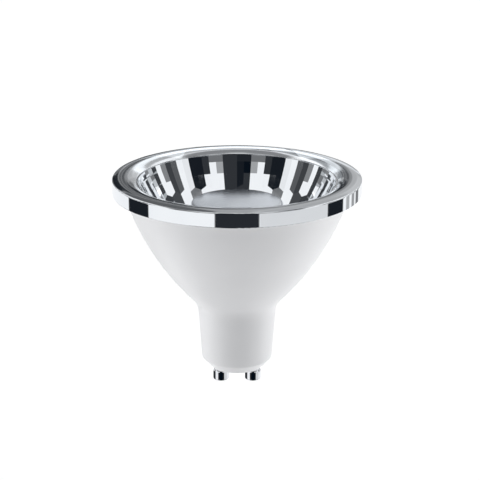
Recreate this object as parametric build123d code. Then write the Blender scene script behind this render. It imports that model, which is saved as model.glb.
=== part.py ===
from build123d import *
import math
import os

# All sizes in millimetres. The pins point down and their tips lie at height zero.

# How far a cut runs past the faces it opens
cut_over = 1.0

# Contact pins of the twist-and-lock base
pin_pitch = 10.0
pin_head_diameter = 5.0
pin_head_length = 3.8
pin_head_shoulder = 0.95
pin_tip_round = 0.35
pin_shank_diameter = 3.0
pin_reach = 5.2
pin_clinch_diameter = 4.4
pin_clinch_thickness = 0.5
pin_cup_diameter = 2.2
pin_cup_length = 1.7
pin_fit_gap = 0.05

# Housing: bevelled base, tapered neck and bulging flare
base_flat_radius = 8.2
base_bevel_width = 2.75
base_bevel_height = 3.0
base_floor = 2.6
neck_taper_angle = 4.16
neck_height = 20.95
neck_blend = 7.0
housing_wall = 1.8
flare_arc_radius = 83.75
flange_overhang = 1.9
flange_thickness = 0.7
base_edge_round = 0.4
bevel_edge_round = 0.7
floor_corner_round = 1.2

# Bezel ring
lamp_height = 61.4
rim_radius = 37.5
band_height = 4.85
bezel_face_width = 7.2
bezel_wall = 1.3
bezel_crown_radius = 7.5
bezel_crest_inset = 2.7
bezel_edge_round = 0.45
bezel_foot_round = 0.2
bezel_lip_round = 0.2
bead_height = 0.35
bead_depth = 0.35
ring_gap = 0.1

# Reflector: two rows of flat panes, then pentagons, then pointed panes down to the floor
facet_count = 80
facet_row_one_step = 0.8
facet_row_one_depth = 2.0
facet_row_two_step = 1.65
facet_row_two_depth = 3.35
facet_tip_step = 2.4
facet_tip_depth = 4.2
bowl_floor_step = 3.2
bowl_floor_depth = 4.9
bowl_hole_radius = 12.0
bowl_floor_thickness = 1.0
reflector_wall = 1.1
reflector_lip_width = 0.35
reflector_lip_step = 0.15
reflector_flange_thickness = 0.7
lip_gap = 0.1
stack_flange_inset = 0.5

# Glare cap
cap_radius = 14.0
cap_depth = 8.0
cap_thickness = 2.2
cap_dome = 0.3
cap_edge_round = 0.9
cap_under_round = 0.5
cap_stem_radius = 4.5

# Heat sink cup, thermal pad and light board
cup_sheet = 0.8
cup_gap = 0.3
cup_corner_round = 0.9
pad_thickness = 0.5
led_board_radius = 16.0
led_board_thickness = 1.5
board_gap = 0.3
led_count = 8
led_side = 3.0
led_height = 0.7
led_ring_radius = 9.0

# Screws
cap_screw_diameter = 3.0
cap_screw_head_diameter = 5.5
cap_screw_head_height = 1.8
cap_screw_grip = 5.0
board_screw_diameter = 2.0
board_screw_head_diameter = 3.0
board_screw_head_height = 1.0
board_screw_tail = 1.2
screw_gap = 0.05
screw_hole_gap = 0.15

# Driver board and its parts
board_edge_gap = 0.7
board_thickness = 1.2
board_lift = 2.4
board_front_y = 2.0
board_margin = 1.0
part_gap = 0.5
rail_inset = 1.0
rail_lip = 1.0
rail_height = 6.4
slot_gap = 0.1
bulk_diameter = 8.0
bulk_length = 9.5
bulk_x = -3.7
output_diameter = 6.3
output_length = 8.0
can_gap = 0.3
can_edge_round = 0.5
film_width = 7.0
film_depth = 4.2
film_height = 4.4
film_lift = 0.5
core_width = 11.0
core_height = 7.6
core_depth = 5.0
core_leg = 3.0
core_side = 1.4
core_yoke = 1.3
bobbin_wall = 0.5
bobbin_gap = 0.15
bobbin_flange_width = 7.6
bobbin_flange_depth = 9.4
winding_gap = 0.1
winding_build = 1.2
winding_round = 0.8
choke_radius = 3.0
choke_waist_radius = 2.5
choke_length = 5.0
choke_flange = 1.0
bridge_width = 4.7
bridge_depth = 2.5
bridge_height = 4.0
bridge_x = 3.8
chip_width = 4.9
chip_depth = 1.5
chip_height = 3.9
chip_x = -2.5
fuse_diameter = 3.0
fuse_length = 7.0
fuse_x = -1.0
fuse_lift = 4.0

# Leads
lead_diameter = 1.0
lead_hole_gap = 0.3
mains_lead_lift = 3.8
mains_lead_bend = 1.2
output_lead_bend = 0.8
output_lead_tail = 2.2

# Heights that follow from the sizes above
base_z = pin_reach
floor_z = base_z + base_floor
neck_foot_z = base_z + base_bevel_height
neck_top_z = base_z + neck_height
rim_top_z = base_z + lamp_height
band_foot_z = rim_top_z - band_height
flange_z = band_foot_z + bead_height
cup_flange_z = flange_z + flange_thickness
reflector_flange_z = cup_flange_z + cup_sheet
land_z = reflector_flange_z + reflector_flange_thickness
crown_centre_z = rim_top_z - bezel_crown_radius
bezel_edge_z = crown_centre_z + math.sqrt(bezel_crown_radius ** 2 - bezel_crest_inset ** 2)
crest_to_lip = bezel_face_width - bezel_crest_inset
bezel_lip_z = crown_centre_z + math.sqrt(bezel_crown_radius ** 2 - crest_to_lip ** 2)
bowl_lip_z = bezel_lip_z - reflector_lip_step
row_one_z = bowl_lip_z - facet_row_one_depth
row_two_z = row_one_z - facet_row_two_depth
tip_z = row_two_z - facet_tip_depth
bowl_floor_z = tip_z - bowl_floor_depth
bowl_under_z = bowl_floor_z - bowl_floor_thickness
led_board_top_z = bowl_under_z - board_gap
led_board_z = led_board_top_z - led_board_thickness
plate_top_z = led_board_z - pad_thickness
plate_z = plate_top_z - cup_sheet
cap_top_z = rim_top_z - cap_depth

# The driver board's parts stand in rows up the board, which sets the board's height
board_back_y = board_front_y + board_thickness
board_foot_z = floor_z + board_lift
film_z = board_foot_z + film_lift
can_z = film_z + film_height + part_gap
core_z = can_z + max(bulk_length, output_length) + part_gap
lead_pad_z = core_z + core_height + part_gap + lead_diameter / 2
board_top_z = lead_pad_z + lead_diameter / 2 + board_margin
fuse_z = board_foot_z + fuse_lift
chip_z = fuse_z + fuse_diameter / 2 + part_gap
choke_z = chip_z + max(chip_height, bridge_height) + part_gap + choke_radius
output_x = bulk_x + bulk_diameter / 2 + can_gap + output_diameter / 2

# Radii that follow from the sizes above
neck_foot_radius = base_flat_radius + base_bevel_width
neck_slope = math.tan(math.radians(neck_taper_angle))
neck_top_radius = neck_foot_radius + neck_slope * (neck_top_z - neck_foot_z)
bezel_bore_radius = rim_radius - bezel_wall
flange_radius = bezel_bore_radius - ring_gap
flare_top_radius = flange_radius - flange_overhang
stack_radius = flange_radius - stack_flange_inset
bezel_lip_radius = rim_radius - bezel_face_width
bowl_lip_radius = bezel_lip_radius - lip_gap
facet_top_radius = bowl_lip_radius - reflector_lip_width
facet_row_one_radius = facet_top_radius - facet_row_one_step
facet_row_two_radius = facet_row_one_radius - facet_row_two_step
facet_tip_radius = facet_row_two_radius - facet_tip_step
bowl_floor_radius = facet_tip_radius - bowl_floor_step
lead_radius = lead_diameter / 2
pin_bore_radius = lead_radius + pin_fit_gap
half_step = math.pi / led_count


def flare_centre():
    # Centre of the arc from the top of the neck to the flange
    run = flare_top_radius - neck_top_radius
    rise = flange_z - neck_top_z
    chord = math.hypot(run, rise)
    reach = math.sqrt(flare_arc_radius ** 2 - (chord / 2) ** 2)
    centre_r = (flare_top_radius + neck_top_radius) / 2 - reach * rise / chord
    centre_z = (flange_z + neck_top_z) / 2 + reach * run / chord
    return centre_r, centre_z


def flare_radius(z, inset):
    centre_r, centre_z = flare_centre()
    return centre_r + math.sqrt((flare_arc_radius - inset) ** 2 - (centre_z - z) ** 2)


def flare_arc(z_start, z_end, inset):
    z_middle = (z_start + z_end) / 2
    spots = [(flare_radius(z, inset), z) for z in (z_start, z_middle, z_end)]
    return ThreePointArc(*spots)


def neck_radius(z, inset):
    return neck_foot_radius - inset + neck_slope * (z - neck_foot_z)


def board_half():
    # Half the driver board's width, so that its back corners clear the neck
    room = neck_radius(board_foot_z, housing_wall) - board_edge_gap
    return math.sqrt(room ** 2 - board_back_y ** 2)


def neck_end_z(inset):
    # Height where the neck line and the flare arc meet, both moved in by the inset
    centre_r, centre_z = flare_centre()
    offset = neck_radius(0, inset) - centre_r
    square = 1 + neck_slope ** 2
    half = offset * neck_slope - centre_z
    rest = offset ** 2 + centre_z ** 2 - (flare_arc_radius - inset) ** 2
    return (-half - math.sqrt(half ** 2 - square * rest)) / square


def rounded(face, spot, radius):
    return fillet(face.vertices().sort_by_distance(spot)[0], radius)


def turned(face):
    return revolve(Plane.XZ * face, Axis.Z)


def upright(radius, z_low, z_high, x=0, y=0):
    middle = (z_low + z_high) / 2
    return Pos(x, y, middle) * Cylinder(radius, z_high - z_low)


def block(x_low, x_high, y_low, y_high, z_low, z_high):
    middle = Pos((x_low + x_high) / 2, (y_low + y_high) / 2, (z_low + z_high) / 2)
    return middle * Box(x_high - x_low, y_high - y_low, z_high - z_low)


def around(radius, angle):
    return radius * math.cos(angle), radius * math.sin(angle)


def screw_spots():
    return [around(led_ring_radius, half_step), around(led_ring_radius, half_step + math.pi)]


def lead_spots():
    down = -math.pi / 2
    return [around(led_ring_radius, down - half_step), around(led_ring_radius, down + half_step)]


def housing():
    corner_z = neck_end_z(housing_wall)
    corner_r = neck_radius(corner_z, housing_wall)
    outline = Polyline(
        (0, base_z),
        (base_flat_radius, base_z),
        (neck_foot_radius, neck_foot_z),
        (neck_top_radius, neck_top_z),
    )
    outline += flare_arc(neck_top_z, flange_z, 0)
    outline += Polyline(
        (flare_top_radius, flange_z),
        (flange_radius, flange_z),
        (flange_radius, cup_flange_z),
        (flare_radius(cup_flange_z, housing_wall), cup_flange_z),
    )
    outline += flare_arc(cup_flange_z, corner_z, housing_wall)
    outline += Polyline(
        (corner_r, corner_z),
        (neck_radius(floor_z, housing_wall), floor_z),
        (0, floor_z),
        (0, base_z),
    )
    face = make_face(outline)
    face = rounded(face, (neck_top_radius, neck_top_z), neck_blend)
    face = rounded(face, (corner_r, corner_z), neck_blend + housing_wall)
    face = rounded(face, (base_flat_radius, base_z), base_edge_round)
    face = rounded(face, (neck_foot_radius, neck_foot_z), bevel_edge_round)
    face = rounded(face, (neck_radius(floor_z, housing_wall), floor_z), floor_corner_round)
    shell = turned(face) + board_rails()
    for side in (-1, 1):
        shell -= upright(pin_shank_diameter / 2 + pin_fit_gap, 0, floor_z + cut_over, side * pin_pitch / 2)
    return shell


def board_rails():
    # Two grooved rails in the neck that hold the driver board by its edges
    rail_top_z = floor_z + rail_height
    sink = housing_wall / 2
    low_z = floor_z - sink
    neck = Polyline(
        (0, low_z),
        (neck_radius(low_z, sink), low_z),
        (neck_radius(rail_top_z, sink), rail_top_z),
        (0, rail_top_z),
        close=True,
    )
    inner_x = board_half() - rail_inset
    rails = []
    for side in (-1, 1):
        ends = sorted((side * inner_x, side * neck_foot_radius * 2))
        rails.append(
            block(*ends, board_front_y - rail_lip, board_back_y + rail_lip, low_z, rail_top_z)
        )
    slot = block(
        -board_half() - slot_gap,
        board_half() + slot_gap,
        board_front_y - slot_gap,
        board_back_y + slot_gap,
        board_foot_z,
        rail_top_z + cut_over,
    )
    core = turned(make_face(neck))
    return [(rail & core) - slot for rail in rails]


def bezel_ring():
    crest_r = rim_radius - bezel_crest_inset
    outline = Line((rim_radius, band_foot_z), (rim_radius, bezel_edge_z))
    outline += ThreePointArc(
        (rim_radius, bezel_edge_z), (crest_r, rim_top_z), (bezel_lip_radius, bezel_lip_z)
    )
    outline += Polyline(
        (bezel_lip_radius, bezel_lip_z),
        (bezel_lip_radius, land_z),
        (bezel_bore_radius, land_z),
        (bezel_bore_radius, flange_z),
        (bezel_bore_radius - bead_depth, flange_z),
        (bezel_bore_radius - bead_depth, band_foot_z),
        (rim_radius, band_foot_z),
    )
    face = make_face(outline)
    face = rounded(face, (rim_radius, bezel_edge_z), bezel_edge_round)
    face = rounded(face, (rim_radius, band_foot_z), bezel_foot_round)
    face = rounded(face, (bezel_lip_radius, bezel_lip_z), bezel_lip_round)
    return turned(face)


def facet_peak():
    # Where two pentagons meet between their tips, so that every pane is flat
    step = 2 * math.pi / facet_count
    edge = Vector(facet_row_two_radius, 0, row_two_z)
    beside = Vector(*around(facet_row_two_radius, step), row_two_z)
    tip = Vector(*around(facet_tip_radius, step), tip_z)
    normal = (beside - edge).cross(tip - edge)
    lean = -normal.Z / normal.X
    slope = (facet_tip_radius - bowl_floor_radius) * math.cos(step) / (tip_z - bowl_floor_z)
    tip_r = facet_tip_radius * math.cos(step)
    peak_z = (tip_r - slope * tip_z - facet_row_two_radius + lean * row_two_z) / (lean - slope)
    peak_r = tip_r + slope * (peak_z - tip_z)
    return peak_r, peak_z


def facet_core():
    # The faceted inside of the bowl as one solid, open a little above the lip
    step = 2 * math.pi / facet_count
    flare = (facet_top_radius - facet_row_one_radius) / facet_row_one_depth
    open_radius = facet_top_radius + flare * cut_over
    peak_r, peak_z = facet_peak()

    def spot(radius, index, z):
        return Vector(*around(radius, step * index), z)

    top = [spot(open_radius, k, bowl_lip_z + cut_over) for k in range(facet_count)]
    one = [spot(facet_row_one_radius, k, row_one_z) for k in range(facet_count)]
    two = [spot(facet_row_two_radius, k, row_two_z) for k in range(facet_count)]
    edge = [
        spot(peak_r, k, peak_z) if k % 2 else spot(facet_tip_radius, k, tip_z)
        for k in range(facet_count)
    ]
    floor = [spot(bowl_floor_radius, k, bowl_floor_z) for k in range(0, facet_count, 2)]
    panes = [top, floor]
    for k in range(facet_count):
        n = (k + 1) % facet_count
        for high, low in ((top, one), (one, two), (two, edge)):
            panes.append([high[k], high[n], low[n], low[k]])
    for j in range(facet_count // 2):
        n = (j + 1) % (facet_count // 2)
        panes.append([edge[2 * j], edge[2 * j + 1], edge[2 * n], floor[n], floor[j]])
    return Solid(Shell([Face(Wire.make_polygon(pane, close=True)) for pane in panes]))


def reflector():
    outline = Polyline(
        (0, bowl_under_z),
        (bowl_floor_radius + reflector_wall / 2, bowl_under_z),
        (bowl_floor_radius + reflector_wall, bowl_floor_z),
        (facet_tip_radius + reflector_wall, tip_z),
        (facet_row_two_radius + reflector_wall, row_two_z),
        (facet_row_one_radius + reflector_wall, row_one_z),
        (bowl_lip_radius, reflector_flange_z),
        (stack_radius, reflector_flange_z),
        (stack_radius, land_z),
        (bowl_lip_radius, land_z),
        (bowl_lip_radius, bowl_lip_z),
        (0, bowl_lip_z),
        close=True,
    )
    bowl = turned(make_face(outline)) - facet_core()
    return bowl - upright(bowl_hole_radius, bowl_under_z - cut_over, bowl_floor_z + cut_over)


def glare_cap():
    under_z = cap_top_z - cap_thickness
    edge_z = cap_top_z - cap_dome
    outline = ThreePointArc(
        (0, cap_top_z), (cap_radius / 2, cap_top_z - cap_dome / 4), (cap_radius, edge_z)
    )
    outline += Polyline(
        (cap_radius, edge_z),
        (cap_radius, under_z),
        (cap_stem_radius, under_z),
        (cap_stem_radius, led_board_top_z),
        (0, led_board_top_z),
        (0, cap_top_z),
    )
    face = make_face(outline)
    face = rounded(face, (cap_radius, edge_z), cap_edge_round)
    face = rounded(face, (cap_radius, under_z), cap_under_round)
    hole = upright(
        cap_screw_diameter / 2 + screw_gap,
        led_board_top_z - cut_over,
        led_board_top_z + cap_screw_grip + screw_gap,
    )
    return turned(face) - hole


def heat_sink_cup():
    outside = housing_wall + cup_gap
    inside = outside + cup_sheet
    outline = Polyline((0, plate_z), (flare_radius(plate_z, outside), plate_z))
    outline += flare_arc(plate_z, cup_flange_z, outside)
    outline += Polyline(
        (flare_radius(cup_flange_z, outside), cup_flange_z),
        (stack_radius, cup_flange_z),
        (stack_radius, reflector_flange_z),
        (flare_radius(reflector_flange_z, inside), reflector_flange_z),
    )
    outline += flare_arc(reflector_flange_z, plate_top_z, inside)
    outline += Polyline(
        (flare_radius(plate_top_z, inside), plate_top_z), (0, plate_top_z), (0, plate_z)
    )
    face = make_face(outline)
    face = rounded(face, (flare_radius(plate_z, outside), plate_z), cup_corner_round + cup_sheet)
    face = rounded(face, (flare_radius(plate_top_z, inside), plate_top_z), cup_corner_round)
    return board_holes(turned(face), plate_z, plate_top_z)


def board_holes(piece, z_low, z_high):
    # Clear holes for the three screws and the two leads
    low, high = z_low - cut_over, z_high + cut_over
    piece -= upright(cap_screw_diameter / 2 + screw_hole_gap, low, high)
    for x, y in screw_spots():
        piece -= upright(board_screw_diameter / 2 + screw_hole_gap, low, high, x, y)
    for x, y in lead_spots():
        piece -= upright(lead_radius + lead_hole_gap, low, high, x, y)
    return piece


def thermal_pad():
    return board_holes(upright(led_board_radius, plate_top_z, led_board_z), plate_top_z, led_board_z)


def led_board():
    disc = upright(led_board_radius, led_board_z, led_board_top_z)
    return board_holes(disc, led_board_z, led_board_top_z)


def led_packages():
    packages = []
    for k in range(led_count):
        spot = Pos(led_ring_radius, 0, led_board_top_z + led_height / 2)
        packages.append(Rot(0, 0, 360 * k / led_count) * spot * Box(led_side, led_side, led_height))
    return Compound(packages)


def cap_screw():
    head = upright(cap_screw_head_diameter / 2, plate_z - cap_screw_head_height, plate_z)
    head = fillet(head.edges().sort_by(Axis.Z)[0], cap_screw_head_height / 3)
    shank_z = plate_z - cap_screw_head_height / 2
    return head + upright(cap_screw_diameter / 2, shank_z, led_board_top_z + cap_screw_grip)


def board_screws():
    screws = []
    for x, y in screw_spots():
        head_z = led_board_top_z + board_screw_head_height
        head = upright(board_screw_head_diameter / 2, led_board_top_z, head_z, x, y)
        head = fillet(head.edges().sort_by(Axis.Z)[-1], board_screw_head_height / 3)
        tail_z = plate_z - board_screw_tail
        middle_z = (head_z + led_board_top_z) / 2
        screws.append(head + upright(board_screw_diameter / 2, tail_z, middle_z, x, y))
    return Compound(screws)


def driver_board():
    return block(
        -board_half(), board_half(), board_front_y, board_back_y, board_foot_z, board_top_z
    )


def can_capacitor(diameter, length, x):
    can = upright(diameter / 2, can_z, can_z + length, x, board_front_y - diameter / 2)
    return fillet(can.edges().filter_by(GeomType.CIRCLE), can_edge_round)


def film_capacitor():
    box = block(
        -film_width / 2, film_width / 2, board_front_y - film_depth, board_front_y,
        film_z, film_z + film_height,
    )
    return fillet(box.edges().filter_by(Axis.Y), can_edge_round)


def core_middle():
    return 0, board_front_y - bobbin_flange_depth / 2, core_z + core_height / 2


def transformer_core():
    core = Box(core_width, core_depth, core_height)
    window_width = (core_width - core_leg) / 2 - core_side
    for side in (-1, 1):
        window_x = side * (core_leg + window_width) / 2
        core -= Pos(window_x, 0, 0) * Box(window_width, core_depth + cut_over, core_height - 2 * core_yoke)
    return Pos(*core_middle()) * core


def bobbin_height():
    return core_height - 2 * core_yoke - 2 * bobbin_gap


def transformer_bobbin():
    inner_width = core_leg + 2 * bobbin_gap
    inner_depth = core_depth + 2 * bobbin_gap
    height = bobbin_height()
    tube = Box(inner_width + 2 * bobbin_wall, inner_depth + 2 * bobbin_wall, height)
    for side in (-1, 1):
        flange_z = side * (height - bobbin_wall) / 2
        tube += Pos(0, 0, flange_z) * Box(bobbin_flange_width, bobbin_flange_depth, bobbin_wall)
    tube -= Box(inner_width, inner_depth, height + cut_over)
    return Pos(*core_middle()) * tube


def transformer_winding():
    inner_width = core_leg + 2 * (bobbin_gap + bobbin_wall + winding_gap)
    inner_depth = core_depth + 2 * (bobbin_gap + bobbin_wall + winding_gap)
    height = bobbin_height() - 2 * bobbin_wall - 2 * winding_gap
    coil = Box(inner_width + 2 * winding_build, inner_depth + 2 * winding_build, height)
    coil = fillet(coil.edges().filter_by(Axis.Z), winding_round)
    coil -= Box(inner_width, inner_depth, height + cut_over)
    return Pos(*core_middle()) * coil


def filter_choke():
    outline = Polyline(
        (0, 0),
        (choke_radius, 0),
        (choke_radius, choke_flange),
        (choke_waist_radius, choke_flange),
        (choke_waist_radius, choke_length - choke_flange),
        (choke_radius, choke_length - choke_flange),
        (choke_radius, choke_length),
        (0, choke_length),
        close=True,
    )
    drum = Rot(-90, 0, 0) * turned(make_face(outline))
    return Pos(0, board_back_y, choke_z) * drum


def bridge_rectifier():
    return block(
        bridge_x - bridge_width / 2, bridge_x + bridge_width / 2,
        board_back_y, board_back_y + bridge_depth, chip_z, chip_z + bridge_height,
    )


def driver_chip():
    return block(
        chip_x - chip_width / 2, chip_x + chip_width / 2,
        board_back_y, board_back_y + chip_depth, chip_z, chip_z + chip_height,
    )


def fuse_resistor():
    body = Rot(0, 90, 0) * Cylinder(fuse_diameter / 2, fuse_length)
    body = fillet(body.edges().filter_by(GeomType.CIRCLE), can_edge_round)
    return Pos(fuse_x, board_back_y + fuse_diameter / 2, fuse_z) * body


def contact_pin(side):
    head_r = pin_head_diameter / 2
    shank_r = pin_shank_diameter / 2
    clinch_r = pin_clinch_diameter / 2
    cup_r = pin_cup_diameter / 2
    clinch_z = floor_z + pin_clinch_thickness
    cup_z = clinch_z + pin_cup_length
    outline = Polyline(
        (0, 0),
        (head_r, 0),
        (head_r, pin_head_length),
        (shank_r, pin_head_length),
        (shank_r, floor_z),
        (clinch_r, floor_z),
        (clinch_r, clinch_z),
        (cup_r, clinch_z),
        (cup_r, cup_z),
        (pin_bore_radius, cup_z),
        (pin_bore_radius, floor_z),
        (0, floor_z),
        close=True,
    )
    face = make_face(outline)
    face = rounded(face, (head_r, 0), pin_tip_round)
    face = rounded(face, (head_r, pin_head_length), pin_head_shoulder)
    return Pos(side * pin_pitch / 2, 0, 0) * turned(face)


def lead(path):
    return sweep(Plane(origin=path @ 0, z_dir=path % 0) * Circle(lead_radius), path)


def mains_lead(side):
    x = side * pin_pitch / 2
    pad_z = board_foot_z + mains_lead_lift
    path = FilletPolyline(
        (x, 0, floor_z), (x, 0, pad_z), (x, board_front_y, pad_z), radius=mains_lead_bend
    )
    return lead(path)


def output_lead(spot):
    x, y = spot
    top_z = led_board_top_z + lead_radius
    share = 1 - output_lead_tail / led_ring_radius
    path = FilletPolyline(
        (x, board_front_y, lead_pad_z),
        (x, y, lead_pad_z),
        (x, y, top_z),
        (x * share, y * share, top_z),
        radius=output_lead_bend,
    )
    return lead(path)


pieces = {
    "housing": housing(),
    "bezel_ring": bezel_ring(),
    "reflector": reflector(),
    "glare_cap": glare_cap(),
    "heat_sink_cup": heat_sink_cup(),
    "thermal_pad": thermal_pad(),
    "led_board": led_board(),
    "led_packages": led_packages(),
    "cap_screw": cap_screw(),
    "board_screws": board_screws(),
    "driver_board": driver_board(),
    "bulk_capacitor": can_capacitor(bulk_diameter, bulk_length, bulk_x),
    "output_capacitor": can_capacitor(output_diameter, output_length, output_x),
    "film_capacitor": film_capacitor(),
    "transformer_core": transformer_core(),
    "transformer_bobbin": transformer_bobbin(),
    "transformer_winding": transformer_winding(),
    "filter_choke": filter_choke(),
    "bridge_rectifier": bridge_rectifier(),
    "driver_chip": driver_chip(),
    "fuse_resistor": fuse_resistor(),
    "contact_pin_left": contact_pin(-1),
    "contact_pin_right": contact_pin(1),
    "mains_lead_left": mains_lead(-1),
    "mains_lead_right": mains_lead(1),
    "output_lead_positive": output_lead(lead_spots()[0]),
    "output_lead_negative": output_lead(lead_spots()[1]),
}

os.makedirs("parts", exist_ok=True)
for name, piece in pieces.items():
    export_step(piece, f"parts/{name}.step")
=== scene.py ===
import math

import bpy
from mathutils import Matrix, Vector

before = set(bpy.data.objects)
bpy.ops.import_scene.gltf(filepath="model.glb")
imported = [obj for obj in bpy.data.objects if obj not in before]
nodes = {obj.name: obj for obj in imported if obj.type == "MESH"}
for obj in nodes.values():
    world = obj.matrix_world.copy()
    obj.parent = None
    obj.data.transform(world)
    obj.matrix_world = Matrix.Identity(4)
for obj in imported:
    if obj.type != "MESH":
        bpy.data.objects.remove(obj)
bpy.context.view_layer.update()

print("frame loaded:", len(nodes), "nodes")


# small helpers for node trees

def addNode(tree, kind, x, y, **settings):
    node = tree.nodes.new(kind)
    node.location = (x, y)
    for key, value in settings.items():
        setattr(node, key, value)
    return node


def mathNode(tree, operation, first, second=None, third=None, x=0, y=0, clamp=False):
    node = addNode(tree, "ShaderNodeMath", x, y, operation=operation, use_clamp=clamp)
    for index, value in enumerate((first, second, third)):
        if value is None:
            continue
        if isinstance(value, (int, float)):
            node.inputs[index].default_value = value
        else:
            tree.links.new(value, node.inputs[index])
    return node.outputs[0]


def groupSocket(group, name, kind, goesIn, value=None):
    side = "INPUT" if goesIn else "OUTPUT"
    socket = group.interface.new_socket(name=name, in_out=side, socket_type=kind)
    if value is not None:
        socket.default_value = value


# places of a Mix node's two values and its result among its sockets
mixSockets = {"RGBA": (6, 7, 2), "VECTOR": (4, 5, 1)}


def mixNode(tree, kind, factor, first, second, x=0, y=0):
    node = addNode(tree, "ShaderNodeMix", x, y, data_type=kind)
    firstPlace, secondPlace, resultPlace = mixSockets[kind]
    tree.links.new(factor, node.inputs["Factor"])
    for place, value in ((firstPlace, first), (secondPlace, second)):
        if isinstance(value, tuple):
            node.inputs[place].default_value = value
        else:
            tree.links.new(value, node.inputs[place])
    return node.outputs[resultPlace]


def axisDistance(group, y):
    # a point's coordinates, and its distance from the lamp's axis
    place = addNode(group, "ShaderNodeTexCoord", -900, y)
    parts = addNode(group, "ShaderNodeSeparateXYZ", -720, y)
    group.links.new(place.outputs["Object"], parts.inputs[0])
    square = mathNode(group, "MULTIPLY", parts.outputs["X"], parts.outputs["X"], x=-540, y=y)
    total = mathNode(group, "MULTIPLY_ADD", parts.outputs["Y"], parts.outputs["Y"], square, x=-360, y=y)
    return parts, mathNode(group, "SQRT", total, x=-200, y=y)


# shared effects

# noise detail, and the span of each noise that its range is stretched from
mottleNoise = {"driftDetail": 3.0, "driftSpan": (0.3, 0.7), "grainDetail": 4.0, "grainSpan": (0.25, 0.75)}


def makeMottleGroup():
    # slow drift in tone plus a fine grain, both 0 to 1
    group = bpy.data.node_groups.new("toneMottle", "ShaderNodeTree")
    groupSocket(group, "Drift Scale", "NodeSocketFloat", True, 40.0)
    groupSocket(group, "Grain Scale", "NodeSocketFloat", True, 1500.0)
    groupSocket(group, "Light", "NodeSocketColor", True, (0.8, 0.8, 0.8, 1.0))
    groupSocket(group, "Deep", "NodeSocketColor", True, (0.7, 0.7, 0.7, 1.0))
    groupSocket(group, "Rough Low", "NodeSocketFloat", True, 0.3)
    groupSocket(group, "Rough High", "NodeSocketFloat", True, 0.4)
    groupSocket(group, "Color", "NodeSocketColor", False)
    groupSocket(group, "Roughness", "NodeSocketFloat", False)
    groupSocket(group, "Grain", "NodeSocketFloat", False)
    entry = addNode(group, "NodeGroupInput", -900, 0)
    leave = addNode(group, "NodeGroupOutput", 500, 0)
    place = addNode(group, "ShaderNodeTexCoord", -900, 300)
    drift = addNode(group, "ShaderNodeTexNoise", -600, 200)
    drift.inputs["Detail"].default_value = mottleNoise["driftDetail"]
    grain = addNode(group, "ShaderNodeTexNoise", -600, -150)
    grain.inputs["Detail"].default_value = mottleNoise["grainDetail"]
    group.links.new(place.outputs["Object"], drift.inputs["Vector"])
    group.links.new(place.outputs["Object"], grain.inputs["Vector"])
    group.links.new(entry.outputs["Drift Scale"], drift.inputs["Scale"])
    group.links.new(entry.outputs["Grain Scale"], grain.inputs["Scale"])
    tone = addNode(group, "ShaderNodeMapRange", -350, 200)
    tone.inputs["From Min"].default_value, tone.inputs["From Max"].default_value = mottleNoise["driftSpan"]
    group.links.new(drift.outputs["Fac"], tone.inputs["Value"])
    deep, light = entry.outputs["Deep"], entry.outputs["Light"]
    blend = mixNode(group, "RGBA", tone.outputs["Result"], deep, light, x=-50, y=250)
    rough = addNode(group, "ShaderNodeMapRange", -50, -50)
    rough.inputs["From Min"].default_value, rough.inputs["From Max"].default_value = mottleNoise["grainSpan"]
    group.links.new(grain.outputs["Fac"], rough.inputs["Value"])
    group.links.new(entry.outputs["Rough Low"], rough.inputs["To Min"])
    group.links.new(entry.outputs["Rough High"], rough.inputs["To Max"])
    group.links.new(blend, leave.inputs["Color"])
    group.links.new(rough.outputs["Result"], leave.inputs["Roughness"])
    group.links.new(grain.outputs["Fac"], leave.inputs["Grain"])
    return group


def makeTurningGroup():
    # fine circular tool lines about the lamp's axis, 0 to 1, and the distance from that axis
    group = bpy.data.node_groups.new("turningLines", "ShaderNodeTree")
    groupSocket(group, "Pitch", "NodeSocketFloat", True, 9000.0)
    groupSocket(group, "Lines", "NodeSocketFloat", False)
    groupSocket(group, "Radius", "NodeSocketFloat", False)
    entry = addNode(group, "NodeGroupInput", -900, 0)
    leave = addNode(group, "NodeGroupOutput", 300, 0)
    radius = axisDistance(group, 200)[1]
    along = mathNode(group, "MULTIPLY", radius, entry.outputs["Pitch"], x=-60, y=220)
    rings = addNode(group, "ShaderNodeTexNoise", 100, 200, noise_dimensions="1D")
    rings.inputs["Scale"].default_value = 1.0
    rings.inputs["Detail"].default_value = 2.0
    group.links.new(along, rings.inputs["W"])
    group.links.new(rings.outputs["Fac"], leave.inputs["Lines"])
    group.links.new(radius, leave.inputs["Radius"])
    return group


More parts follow.
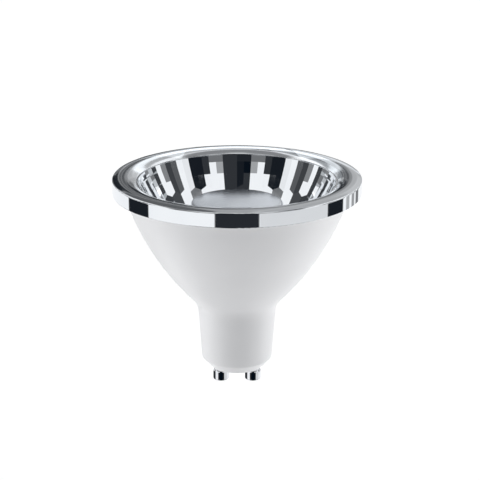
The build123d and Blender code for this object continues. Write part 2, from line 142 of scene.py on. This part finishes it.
def makeEdgeGroup():
    # direction a rolled edge faces, from where a point lies round the edge's centre line,
    # and a mask of where that applies
    group = bpy.data.node_groups.new("edgeNormal", "ShaderNodeTree")
    groupSocket(group, "Centre Radius", "NodeSocketFloat", True, 0.037)
    groupSocket(group, "Centre Height", "NodeSocketFloat", True, 0.066)
    groupSocket(group, "Slope", "NodeSocketFloat", True, 0.3)
    groupSocket(group, "Normal", "NodeSocketVector", False)
    groupSocket(group, "Mask", "NodeSocketFloat", False)
    entry = addNode(group, "NodeGroupInput", -900, 0)
    leave = addNode(group, "NodeGroupOutput", 700, 0)
    parts, radius = axisDistance(group, 300)
    out = mathNode(group, "SUBTRACT", radius, entry.outputs["Centre Radius"], x=-40, y=340)
    share = mathNode(group, "DIVIDE", out, radius, x=100, y=340)
    up = mathNode(group, "SUBTRACT", parts.outputs["Z"], entry.outputs["Centre Height"], x=-360, y=100)
    facing = addNode(group, "ShaderNodeCombineXYZ", 400, 300)
    group.links.new(mathNode(group, "MULTIPLY", parts.outputs["X"], share, x=240, y=400), facing.inputs[0])
    group.links.new(mathNode(group, "MULTIPLY", parts.outputs["Y"], share, x=240, y=300), facing.inputs[1])
    group.links.new(up, facing.inputs[2])
    unit = addNode(group, "ShaderNodeVectorMath", 540, 300, operation="NORMALIZE")
    group.links.new(facing.outputs[0], unit.inputs[0])
    limit = mathNode(group, "MULTIPLY", up, entry.outputs["Slope"], x=-40, y=0)
    beyond = mathNode(group, "GREATER_THAN", out, limit, x=100, y=0)
    above = mathNode(group, "GREATER_THAN", up, 0.0, x=100, y=-150)
    group.links.new(unit.outputs[0], leave.inputs["Normal"])
    group.links.new(mathNode(group, "MULTIPLY", beyond, above, x=300, y=-50), leave.inputs["Mask"])
    return group


mottle = makeMottleGroup()
turning = makeTurningGroup()
edging = makeEdgeGroup()
print("shared effects built")


def startMaterial(name):
    material = bpy.data.materials.new(name)
    material.use_nodes = True
    material.node_tree.nodes.clear()
    tree = material.node_tree
    shader = addNode(tree, "ShaderNodeBsdfPrincipled", 300, 0)
    result = addNode(tree, "ShaderNodeOutputMaterial", 620, 0)
    tree.links.new(shader.outputs["BSDF"], result.inputs["Surface"])
    return material, tree, shader


def finishMaterial(name, look):
    # look: light and deep tones, roughness range, how deep the grain stands, and for the ring the
    # radii between which its satin face turns into the polished band and where its edge is rolled
    material, tree, shader = startMaterial(name)
    effect = addNode(tree, "ShaderNodeGroup", -250, 0)
    effect.node_tree = mottle
    effect.inputs["Drift Scale"].default_value = look.get("drift", 60.0)
    effect.inputs["Grain Scale"].default_value = look.get("grain", 2500.0)
    effect.inputs["Light"].default_value = (*look["light"], 1.0)
    effect.inputs["Deep"].default_value = (*look["deep"], 1.0)
    effect.inputs["Rough Low"].default_value = look["rough"][0]
    effect.inputs["Rough High"].default_value = look["rough"][1]
    tree.links.new(effect.outputs["Color"], shader.inputs["Base Color"])
    rough = effect.outputs["Roughness"]
    if look.get("satin"):
        within = addNode(tree, "ShaderNodeGroup", -450, -200)
        within.node_tree = turning
        face = addNode(tree, "ShaderNodeMapRange", -250, -200)
        for socket, number in zip(("From Min", "From Max", "To Min", "To Max"), look["satin"]):
            face.inputs[socket].default_value = number
        tree.links.new(within.outputs["Radius"], face.inputs["Value"])
        rough = mathNode(tree, "MAXIMUM", rough, face.outputs["Result"], x=60, y=-50)
    tree.links.new(rough, shader.inputs["Roughness"])
    shader.inputs["Metallic"].default_value = look.get("metal", 0.0)
    shader.inputs["Specular IOR Level"].default_value = look.get("gloss", 0.5)
    shader.inputs["Coat Weight"].default_value = look.get("coat", 0.0)
    height = effect.outputs["Grain"]
    if look.get("turned"):
        lines = addNode(tree, "ShaderNodeGroup", -250, -350)
        lines.node_tree = turning
        lines.inputs["Pitch"].default_value = look["turned"]
        height = lines.outputs["Lines"]
    bump = addNode(tree, "ShaderNodeBump", 60, -250)
    bump.inputs["Strength"].default_value = look.get("bump", 0.05)
    bump.inputs["Distance"].default_value = look.get("depth", 0.00005)
    tree.links.new(height, bump.inputs["Height"])
    normal = bump.outputs["Normal"]
    if look.get("edge"):
        rolled = addNode(tree, "ShaderNodeGroup", -250, -550)
        rolled.node_tree = edging
        for socket, number in zip(("Centre Radius", "Centre Height", "Slope"), look["edge"]):
            rolled.inputs[socket].default_value = number
        mask, facing = rolled.outputs["Mask"], rolled.outputs["Normal"]
        normal = mixNode(tree, "VECTOR", mask, normal, facing, x=180, y=-400)
    tree.links.new(normal, shader.inputs["Normal"])
    return material


looks = {
    "housing": {"light": (0.86, 0.86, 0.87), "deep": (0.83, 0.83, 0.84), "rough": (0.34, 0.42),
                "drift": 45.0, "grain": 5200.0, "bump": 0.05, "depth": 0.00003, "gloss": 0.45},
    "bezel_ring": {"light": (0.89, 0.91, 0.93), "deep": (0.86, 0.88, 0.91), "rough": (0.02, 0.05),
                   "metal": 1.0, "satin": (0.0365, 0.0370, 0.11, 0.0), "edge": (0.03705, 0.06578, 0.337),
                   "drift": 70.0, "grain": 900.0, "bump": 0.01, "depth": 0.00001},
    "reflector": {"light": (0.89, 0.91, 0.93), "deep": (0.85, 0.87, 0.90), "rough": (0.02, 0.05),
                  "metal": 1.0, "drift": 120.0, "grain": 1200.0, "bump": 0.01, "depth": 0.00001},
    "glare_cap": {"light": (0.78, 0.80, 0.84), "deep": (0.72, 0.74, 0.78), "rough": (0.16, 0.22),
                  "metal": 1.0, "drift": 90.0, "grain": 3000.0, "turned": 9000.0, "bump": 0.04,
                  "depth": 0.00001},
    "heat_sink_cup": {"light": (0.74, 0.75, 0.76), "deep": (0.64, 0.65, 0.67), "rough": (0.28, 0.42),
                      "metal": 1.0, "turned": 4000.0, "bump": 0.08, "depth": 0.00002},
    "thermal_pad": {"light": (0.52, 0.58, 0.64), "deep": (0.44, 0.50, 0.57), "rough": (0.7, 0.85),
                    "grain": 1800.0, "bump": 0.2},
    "led_board": {"light": (0.88, 0.88, 0.86), "deep": (0.82, 0.82, 0.80), "rough": (0.35, 0.48),
                  "grain": 3000.0},
    "led_packages": {"light": (0.95, 0.80, 0.26), "deep": (0.90, 0.70, 0.18), "rough": (0.38, 0.5),
                     "coat": 0.3, "grain": 4000.0, "bump": 0.1},
    "cap_screw": {"light": (0.66, 0.66, 0.68), "deep": (0.55, 0.55, 0.58), "rough": (0.2, 0.36),
                  "metal": 1.0},
    "board_screws": {"light": (0.66, 0.66, 0.68), "deep": (0.55, 0.55, 0.58), "rough": (0.2, 0.36),
                     "metal": 1.0},
    "driver_board": {"light": (0.09, 0.30, 0.14), "deep": (0.06, 0.22, 0.10), "rough": (0.35, 0.5),
                     "coat": 0.3, "drift": 400.0, "grain": 3000.0},
    "bulk_capacitor": {"light": (0.05, 0.05, 0.06), "deep": (0.03, 0.03, 0.04), "rough": (0.25, 0.38)},
    "output_capacitor": {"light": (0.07, 0.10, 0.24), "deep": (0.05, 0.07, 0.18),
                         "rough": (0.25, 0.38)},
    "film_capacitor": {"light": (0.72, 0.52, 0.10), "deep": (0.62, 0.43, 0.07), "rough": (0.3, 0.45)},
    "transformer_core": {"light": (0.12, 0.12, 0.13), "deep": (0.07, 0.07, 0.08), "rough": (0.5, 0.7),
                         "bump": 0.3},
    "transformer_bobbin": {"light": (0.06, 0.06, 0.06), "deep": (0.04, 0.04, 0.04),
                           "rough": (0.4, 0.55)},
    "transformer_winding": {"light": (0.72, 0.36, 0.16), "deep": (0.58, 0.26, 0.10),
                            "rough": (0.25, 0.4), "metal": 1.0, "bump": 0.4},
    "filter_choke": {"light": (0.14, 0.13, 0.13), "deep": (0.08, 0.08, 0.08), "rough": (0.5, 0.7),
                     "bump": 0.3},
    "bridge_rectifier": {"light": (0.04, 0.04, 0.04), "deep": (0.025, 0.025, 0.025),
                         "rough": (0.45, 0.6)},
    "driver_chip": {"light": (0.04, 0.04, 0.045), "deep": (0.025, 0.025, 0.03), "rough": (0.45, 0.6)},
    "fuse_resistor": {"light": (0.42, 0.54, 0.42), "deep": (0.34, 0.45, 0.34), "rough": (0.4, 0.55)},
    "contact_pin": {"light": (0.86, 0.87, 0.89), "deep": (0.80, 0.81, 0.84), "rough": (0.02, 0.05),
                    "metal": 1.0, "drift": 300.0, "grain": 2000.0, "bump": 0.02, "depth": 0.00001},
    "mains_lead": {"light": (0.82, 0.82, 0.82), "deep": (0.76, 0.76, 0.76), "rough": (0.45, 0.6)},
    "output_lead_positive": {"light": (0.62, 0.05, 0.04), "deep": (0.52, 0.04, 0.03),
                             "rough": (0.45, 0.6)},
    "output_lead_negative": {"light": (0.04, 0.04, 0.045), "deep": (0.03, 0.03, 0.03),
                             "rough": (0.45, 0.6)},
}

for look in looks:
    finish = finishMaterial(look + "Finish", looks[look])
    for name, piece in nodes.items():
        if name == look or name in (look + "_left", look + "_right"):
            piece.data.materials.clear()
            piece.data.materials.append(finish)
print("finishes on", len(nodes), "pieces")


# floor the lamp stands on: only the camera sees it, so it throws no light up at the lamp

floorLook = {"size": 8.0, "tone": (0.93, 0.93, 0.935), "shade": 0.35, "rough": 0.9, "glow": 0.86}

bpy.ops.object.select_all(action="DESELECT")
bpy.ops.mesh.primitive_plane_add(size=floorLook["size"], location=(0, 0, 0))
floor = bpy.context.object
floor.name = "studioFloor"
floorMaterial, floorTree, floorShader = startMaterial("paleFloor")
floorTone = [part * floorLook["shade"] for part in floorLook["tone"]]
floorShader.inputs["Base Color"].default_value = (*floorTone, 1.0)
floorShader.inputs["Roughness"].default_value = floorLook["rough"]
floorShader.inputs["Specular IOR Level"].default_value = 0.0
floorShader.inputs["Emission Color"].default_value = (1.0, 1.0, 1.0, 1.0)
floorShader.inputs["Emission Strength"].default_value = floorLook["glow"]
floor.data.materials.append(floorMaterial)
floor.visible_glossy = False
floor.visible_diffuse = False
floor.visible_shadow = False
print("floor down")


# studio round the lamp: pale walls with dark flags, seen by the bright metal

studio = {"wall": (0.98, 0.99, 1.0), "dark": (0.0, 0.0028, 0.0075), "strength": 1.0}

# each flag: middle and half width in azimuth from the camera's side, lowest and highest elevation,
# the level it leaves and how soft its edges are, all in degrees; both repeats it on the other side
flags = [
    # dark card behind the camera, with a darker half
    {"at": 0.0, "half": 19.8, "low": -95.0, "high": 70.0, "level": 0.034, "soft": 1.2},
    {"at": -4.6, "half": 4.6, "low": 32.0, "high": 47.0, "level": 0.3, "soft": 0.8},
    {"at": -14.5, "half": 5.3, "low": 32.0, "high": 40.0, "level": 0.1, "soft": 0.8},
    {"at": -10.0, "half": 10.0, "low": 5.0, "high": 32.0, "level": 0.5, "soft": 0.8},
    {"at": 0.0, "half": 19.8, "low": -95.0, "high": 0.0, "level": 0.65, "soft": 1.2},
    # dark ceiling round a bright panel overhead
    {"at": 0.0, "half": 95.0, "low": 56.0, "high": 69.0, "level": 0.04, "soft": 4.0},
    {"at": 95.0, "half": 35.0, "low": 50.0, "high": 69.0, "level": 0.06, "soft": 5.0, "both": True},
    {"at": 180.0, "half": 50.0, "low": 57.0, "high": 79.0, "level": 0.25, "soft": 5.0},
    # grey foot of the windows beside it
    {"at": 29.0, "half": 10.0, "low": 5.0, "high": 32.0, "level": 0.18, "soft": 3.0, "both": True},
    {"at": 23.5, "half": 4.5, "low": 32.0, "high": 40.0, "level": 0.4, "soft": 2.5, "both": True},
    # black stands, grey panels and stripes further round
    {"at": 55.3, "half": 9.3, "low": 12.0, "high": 39.2, "level": 0.01, "soft": 1.0, "both": True},
    {"at": 42.0, "half": 4.2, "low": 12.0, "high": 39.2, "level": 0.035, "soft": 1.0, "both": True},
    {"at": 70.0, "half": 8.0, "low": 39.8, "high": 46.0, "level": 0.17, "soft": 1.0, "both": True},
    {"at": 68.5, "half": 3.5, "low": 12.0, "high": 39.8, "level": 0.9, "soft": 1.0, "both": True},
    {"at": 86.3, "half": 3.8, "low": 5.0, "high": 32.0, "level": 0.11, "soft": 1.0, "both": True},
    {"at": 94.4, "half": 4.3, "low": 5.0, "high": 31.0, "level": 0.055, "soft": 1.0, "both": True},
    {"at": 102.5, "half": 5.0, "low": 26.5, "high": 34.0, "level": 0.07, "soft": 1.0, "both": True},
    {"at": 101.5, "half": 3.0, "low": 0.0, "high": 22.0, "level": 0.25, "soft": 1.5, "both": True},
    {"at": 117.5, "half": 2.6, "low": 0.0, "high": 30.0, "level": 0.05, "soft": 1.0, "both": True},
    {"at": 124.5, "half": 2.5, "low": 0.0, "high": 13.0, "level": 0.2, "soft": 1.0, "both": True},
    {"at": 132.0, "half": 2.6, "low": -4.0, "high": 26.0, "level": 0.25, "soft": 1.0, "both": True},
    {"at": 139.3, "half": 3.0, "low": -4.0, "high": 3.3, "level": 0.1, "soft": 1.0, "both": True},
    {"at": 147.0, "half": 2.6, "low": 0.0, "high": 24.0, "level": 0.3, "soft": 1.0, "both": True},
    # low cards that the band shows
    {"at": 101.3, "half": 11.3, "low": -20.5, "high": -4.0, "level": 0.012, "soft": 1.2},
    {"at": -101.7, "half": 14.5, "low": -20.5, "high": -4.0, "level": 0.012, "soft": 1.2},
    {"at": 55.0, "half": 35.0, "low": -36.0, "high": 3.0, "level": 0.76, "soft": 3.0},
    {"at": 121.0, "half": 3.0, "low": -20.5, "high": -4.0, "level": 0.45, "soft": 1.5},
    {"at": 132.0, "half": 3.0, "low": -20.5, "high": -4.0, "level": 0.35, "soft": 1.5},
    {"at": 143.0, "half": 4.0, "low": -20.5, "high": -4.0, "level": 0.2, "soft": 1.5},
    # lower ones that the pins show
    {"at": 0.0, "half": 19.8, "low": -45.0, "high": -20.5, "level": 0.05, "soft": 1.5},
    {"at": 32.0, "half": 12.6, "low": -42.0, "high": -20.5, "level": 0.01, "soft": 1.0, "both": True},
    {"at": -126.0, "half": 38.0, "low": -40.0, "high": -20.5, "level": 0.04, "soft": 1.5},
    # dim ground
    {"at": 0.0, "half": 200.0, "low": -120.0, "high": -48.0, "level": 0.3, "soft": 20.0},
    # back wall: grey, half lit on one side and in shade on the other
    {"at": -177.3, "half": 4.2, "low": -6.0, "high": 12.0, "level": 0.02, "soft": 2.0},
    {"at": 176.8, "half": 2.0, "low": -6.0, "high": 10.0, "level": 0.15, "soft": 2.0},
    {"at": 178.0, "half": 2.6, "low": 10.0, "high": 26.0, "level": 0.28, "soft": 2.5},
    {"at": -177.8, "half": 2.3, "low": 12.0, "high": 26.0, "level": 0.1, "soft": 2.0},
    {"at": 180.0, "half": 4.5, "low": 26.0, "high": 54.0, "level": 0.38, "soft": 3.0},
    {"at": 172.3, "half": 3.2, "low": 13.0, "high": 26.0, "level": 0.45, "soft": 2.5},
    {"at": 160.0, "half": 9.0, "low": 13.0, "high": 26.0, "level": 0.57, "soft": 2.5},
    {"at": 163.0, "half": 12.5, "low": 26.0, "high": 54.0, "level": 0.43, "soft": 3.0},
    {"at": 163.0, "half": 12.5, "low": -5.0, "high": 13.0, "level": 0.42, "soft": 3.0},
    {"at": -173.8, "half": 2.0, "low": 12.0, "high": 25.0, "level": 0.12, "soft": 2.0},
    {"at": -167.5, "half": 4.3, "low": 10.0, "high": 25.0, "level": 0.014, "soft": 2.0},
    {"at": -156.7, "half": 6.5, "low": 10.0, "high": 25.0, "level": 0.14, "soft": 2.0},
    {"at": -163.0, "half": 12.8, "low": 25.0, "high": 54.0, "level": 0.12, "soft": 2.5},
    {"at": -163.0, "half": 12.8, "low": -2.0, "high": 10.0, "level": 0.12, "soft": 2.0},
]


def makeFlagGroup():
    # 1 inside a patch of the studio, 0 outside, with soft sides
    group = bpy.data.node_groups.new("studioFlag", "ShaderNodeTree")
    for name in ("Azimuth", "Elevation", "At", "Half", "Low", "High", "Soft"):
        groupSocket(group, name, "NodeSocketFloat", True, 0.0)
    groupSocket(group, "Mask", "NodeSocketFloat", False)
    entry = addNode(group, "NodeGroupInput", -900, 0)
    leave = addNode(group, "NodeGroupOutput", 500, 0)
    away = mathNode(group, "SUBTRACT", entry.outputs["Azimuth"], entry.outputs["At"], x=-700, y=200)
    wrapped = mathNode(group, "WRAP", away, 180.0, -180.0, x=-540, y=200)
    far = mathNode(group, "ABSOLUTE", wrapped, x=-380, y=200)
    inside = mathNode(group, "SUBTRACT", entry.outputs["Half"], far, x=-220, y=200)
    side = mathNode(group, "DIVIDE", inside, entry.outputs["Soft"], x=-60, y=200)
    sideMask = mathNode(group, "ADD", side, 0.5, x=100, y=200, clamp=True)
    above = mathNode(group, "SUBTRACT", entry.outputs["Elevation"], entry.outputs["Low"], x=-540, y=-50)
    aboveSoft = mathNode(group, "DIVIDE", above, entry.outputs["Soft"], x=-380, y=-50)
    lowMask = mathNode(group, "ADD", aboveSoft, 0.5, x=-220, y=-50, clamp=True)
    below = mathNode(group, "SUBTRACT", entry.outputs["High"], entry.outputs["Elevation"], x=-540, y=-250)
    belowSoft = mathNode(group, "DIVIDE", below, entry.outputs["Soft"], x=-380, y=-250)
    highMask = mathNode(group, "ADD", belowSoft, 0.5, x=-220, y=-250, clamp=True)
    both = mathNode(group, "MULTIPLY", lowMask, highMask, x=-40, y=-150)
    mask = mathNode(group, "MULTIPLY", both, sideMask, x=260, y=0)
    group.links.new(mask, leave.inputs["Mask"])
    return group


def buildStudio():
    world = bpy.data.worlds.new("studio")
    bpy.context.scene.world = world
    world.use_nodes = True
    tree = world.node_tree
    tree.nodes.clear()
    flagGroup = makeFlagGroup()
    place = addNode(tree, "ShaderNodeTexCoord", -1600, 0)
    parts = addNode(tree, "ShaderNodeSeparateXYZ", -1420, 0)
    tree.links.new(place.outputs["Generated"], parts.inputs[0])
    towards = mathNode(tree, "MULTIPLY", parts.outputs["Y"], -1.0, x=-1250, y=100)
    turn = mathNode(tree, "ARCTAN2", parts.outputs["X"], towards, x=-1100, y=100)
    azimuth = mathNode(tree, "DEGREES", turn, x=-950, y=100)
    lift = mathNode(tree, "ARCSINE", parts.outputs["Z"], x=-1100, y=-100)
    elevation = mathNode(tree, "DEGREES", lift, x=-950, y=-100)

    level = 1.0
    patches = flags + [dict(flag, at=-flag["at"]) for flag in flags if flag.get("both")]
    for index, flag in enumerate(patches):
        patch = addNode(tree, "ShaderNodeGroup", -550 + 40 * index, 400 + 200 * index)
        patch.node_tree = flagGroup
        tree.links.new(azimuth, patch.inputs["Azimuth"])
        tree.links.new(elevation, patch.inputs["Elevation"])
        for name in ("At", "Half", "Low", "High", "Soft"):
            patch.inputs[name].default_value = flag[name.lower()]
        drop = flag["level"] - 1.0
        row = 400 + 200 * index
        fade = mathNode(tree, "MULTIPLY_ADD", patch.outputs["Mask"], drop, 1.0, x=-300, y=row)
        level = mathNode(tree, "MULTIPLY", level, fade, x=-120, y=row)

    # dark places are a little cooler than the pale walls
    dark, wall = (*studio["dark"], 1.0), (*studio["wall"], 1.0)
    tint = mixNode(tree, "RGBA", level, dark, wall, x=250)
    seen = addNode(tree, "ShaderNodeBackground", 450, 0)
    seen.inputs["Strength"].default_value = studio["strength"]
    tree.links.new(tint, seen.inputs["Color"])
    plain = addNode(tree, "ShaderNodeBackground", 450, -200)
    plain.inputs["Color"].default_value = (1.0, 1.0, 1.0, 1.0)
    rays = addNode(tree, "ShaderNodeLightPath", 450, 300)
    choose = addNode(tree, "ShaderNodeMixShader", 650, 0)
    tree.links.new(rays.outputs["Is Camera Ray"], choose.inputs["Fac"])
    tree.links.new(seen.outputs["Background"], choose.inputs[1])
    tree.links.new(plain.outputs["Background"], choose.inputs[2])
    result = addNode(tree, "ShaderNodeOutputWorld", 850, 0)
    tree.links.new(choose.outputs["Shader"], result.inputs["Surface"])
    return len(patches)


print("studio built with", buildStudio(), "flags")


# soft lamps all round that lift the white housing; bright metal doesn't show them

def hangLamp(name, spot, towards, size, power):
    bpy.ops.object.light_add(type="AREA", location=spot)
    lamp = bpy.context.object
    lamp.name = name
    lamp.rotation_euler = Vector(towards).to_track_quat("-Z", "Y").to_euler()
    lamp.data.shape = "RECTANGLE"
    lamp.data.size, lamp.data.size_y = size
    lamp.data.energy = power
    lamp.visible_camera = False
    return lamp


# each lamp: degrees round from the camera's side, degrees up, power
fill = {"away": 1.2, "size": (0.8, 0.8), "lamps": {
    "fillLeft": (-97.0, -12.0, 5.6),
    "fillRight": (100.0, -15.0, 5.5),
    "fillFront": (0.0, 0.0, 2.2),
    "fillBackLeft": (-132.0, -33.0, 5.4),
    "fillBackRight": (141.0, -50.0, 4.5),
    "fillLow": (-20.0, -60.0, 2.2),
}}

for name, (turn, rise, power) in fill["lamps"].items():
    turn, rise = math.radians(turn), math.radians(rise)
    flat = math.cos(rise)
    spot = fill["away"] * Vector((math.sin(turn) * flat, -math.cos(turn) * flat, math.sin(rise)))
    hangLamp(name, spot, -spot, fill["size"], power).visible_glossy = False
print("fill lamps hung")


# bright cards close behind the rim, seen only in the metal: one in the disc, the others in the ring

cards = {"tint": (0.93, 0.97, 1.0), "hung": {
    "discCard": {"spot": (0.0, 0.050, 0.0765), "towards": (0.0, -1.0, 0.0),
                 "size": (0.032, 0.010), "level": 0.47},
    "ringCard": {"spot": (0.0, 0.111, 0.114), "towards": (0.0, 0.309, -0.951),
                 "size": (0.060, 0.103), "level": 0.65},
    "rightCard": {"spot": (0.035, 0.075, 0.0757), "towards": (0.0, 0.1045, -0.9945),
                  "size": (0.034, 0.0985), "level": 0.4},
    "slopeCard": {"spot": (0.010, 0.082, 0.0885), "towards": (1.0, 0.0, 0.0),
                  "size": (0.090, 0.037), "level": 0.25},
    "backCard": {"spot": (0.0045, 0.070, 0.063), "towards": (0.0, -1.0, 0.0),
                 "size": (0.031, 0.014), "level": 0.3},
    "leftCard": {"spot": (-0.034, 0.075, 0.0739), "towards": (0.0, 0.1045, -0.9945),
                 "size": (0.036, 0.0985), "level": 0.3},
}}

for name, card in cards["hung"].items():
    power = card["level"] * math.pi * card["size"][0] * card["size"][1]
    lamp = hangLamp(name, card["spot"], card["towards"], card["size"], power)
    lamp.data.color = cards["tint"]
    lamp.visible_diffuse = False
print("cards up")


# camera at the photograph's place

view = {"aim": (0.0, 0.0, 0.0352), "distance": 0.420, "elevation": 19.8, "lens": 102.26, "sensor": 36.0,
        "shiftX": 0.00625, "shiftY": 0.0693, "nearest": 0.01}

tilt = math.radians(view["elevation"])
aim = Vector(view["aim"])
back = Vector((0.0, -math.cos(tilt), math.sin(tilt)))
bpy.ops.object.camera_add(location=aim + view["distance"] * back)
camera = bpy.context.object
camera.name = "photoCamera"
camera.rotation_euler = (aim - camera.location).to_track_quat("-Z", "Y").to_euler()
camera.data.sensor_width = view["sensor"]
camera.data.lens = view["lens"]
camera.data.shift_x = view["shiftX"]
camera.data.shift_y = view["shiftY"]
camera.data.clip_start = view["nearest"]
bpy.context.scene.camera = camera
bpy.context.scene.view_settings.view_transform = "Standard"
print("camera set")
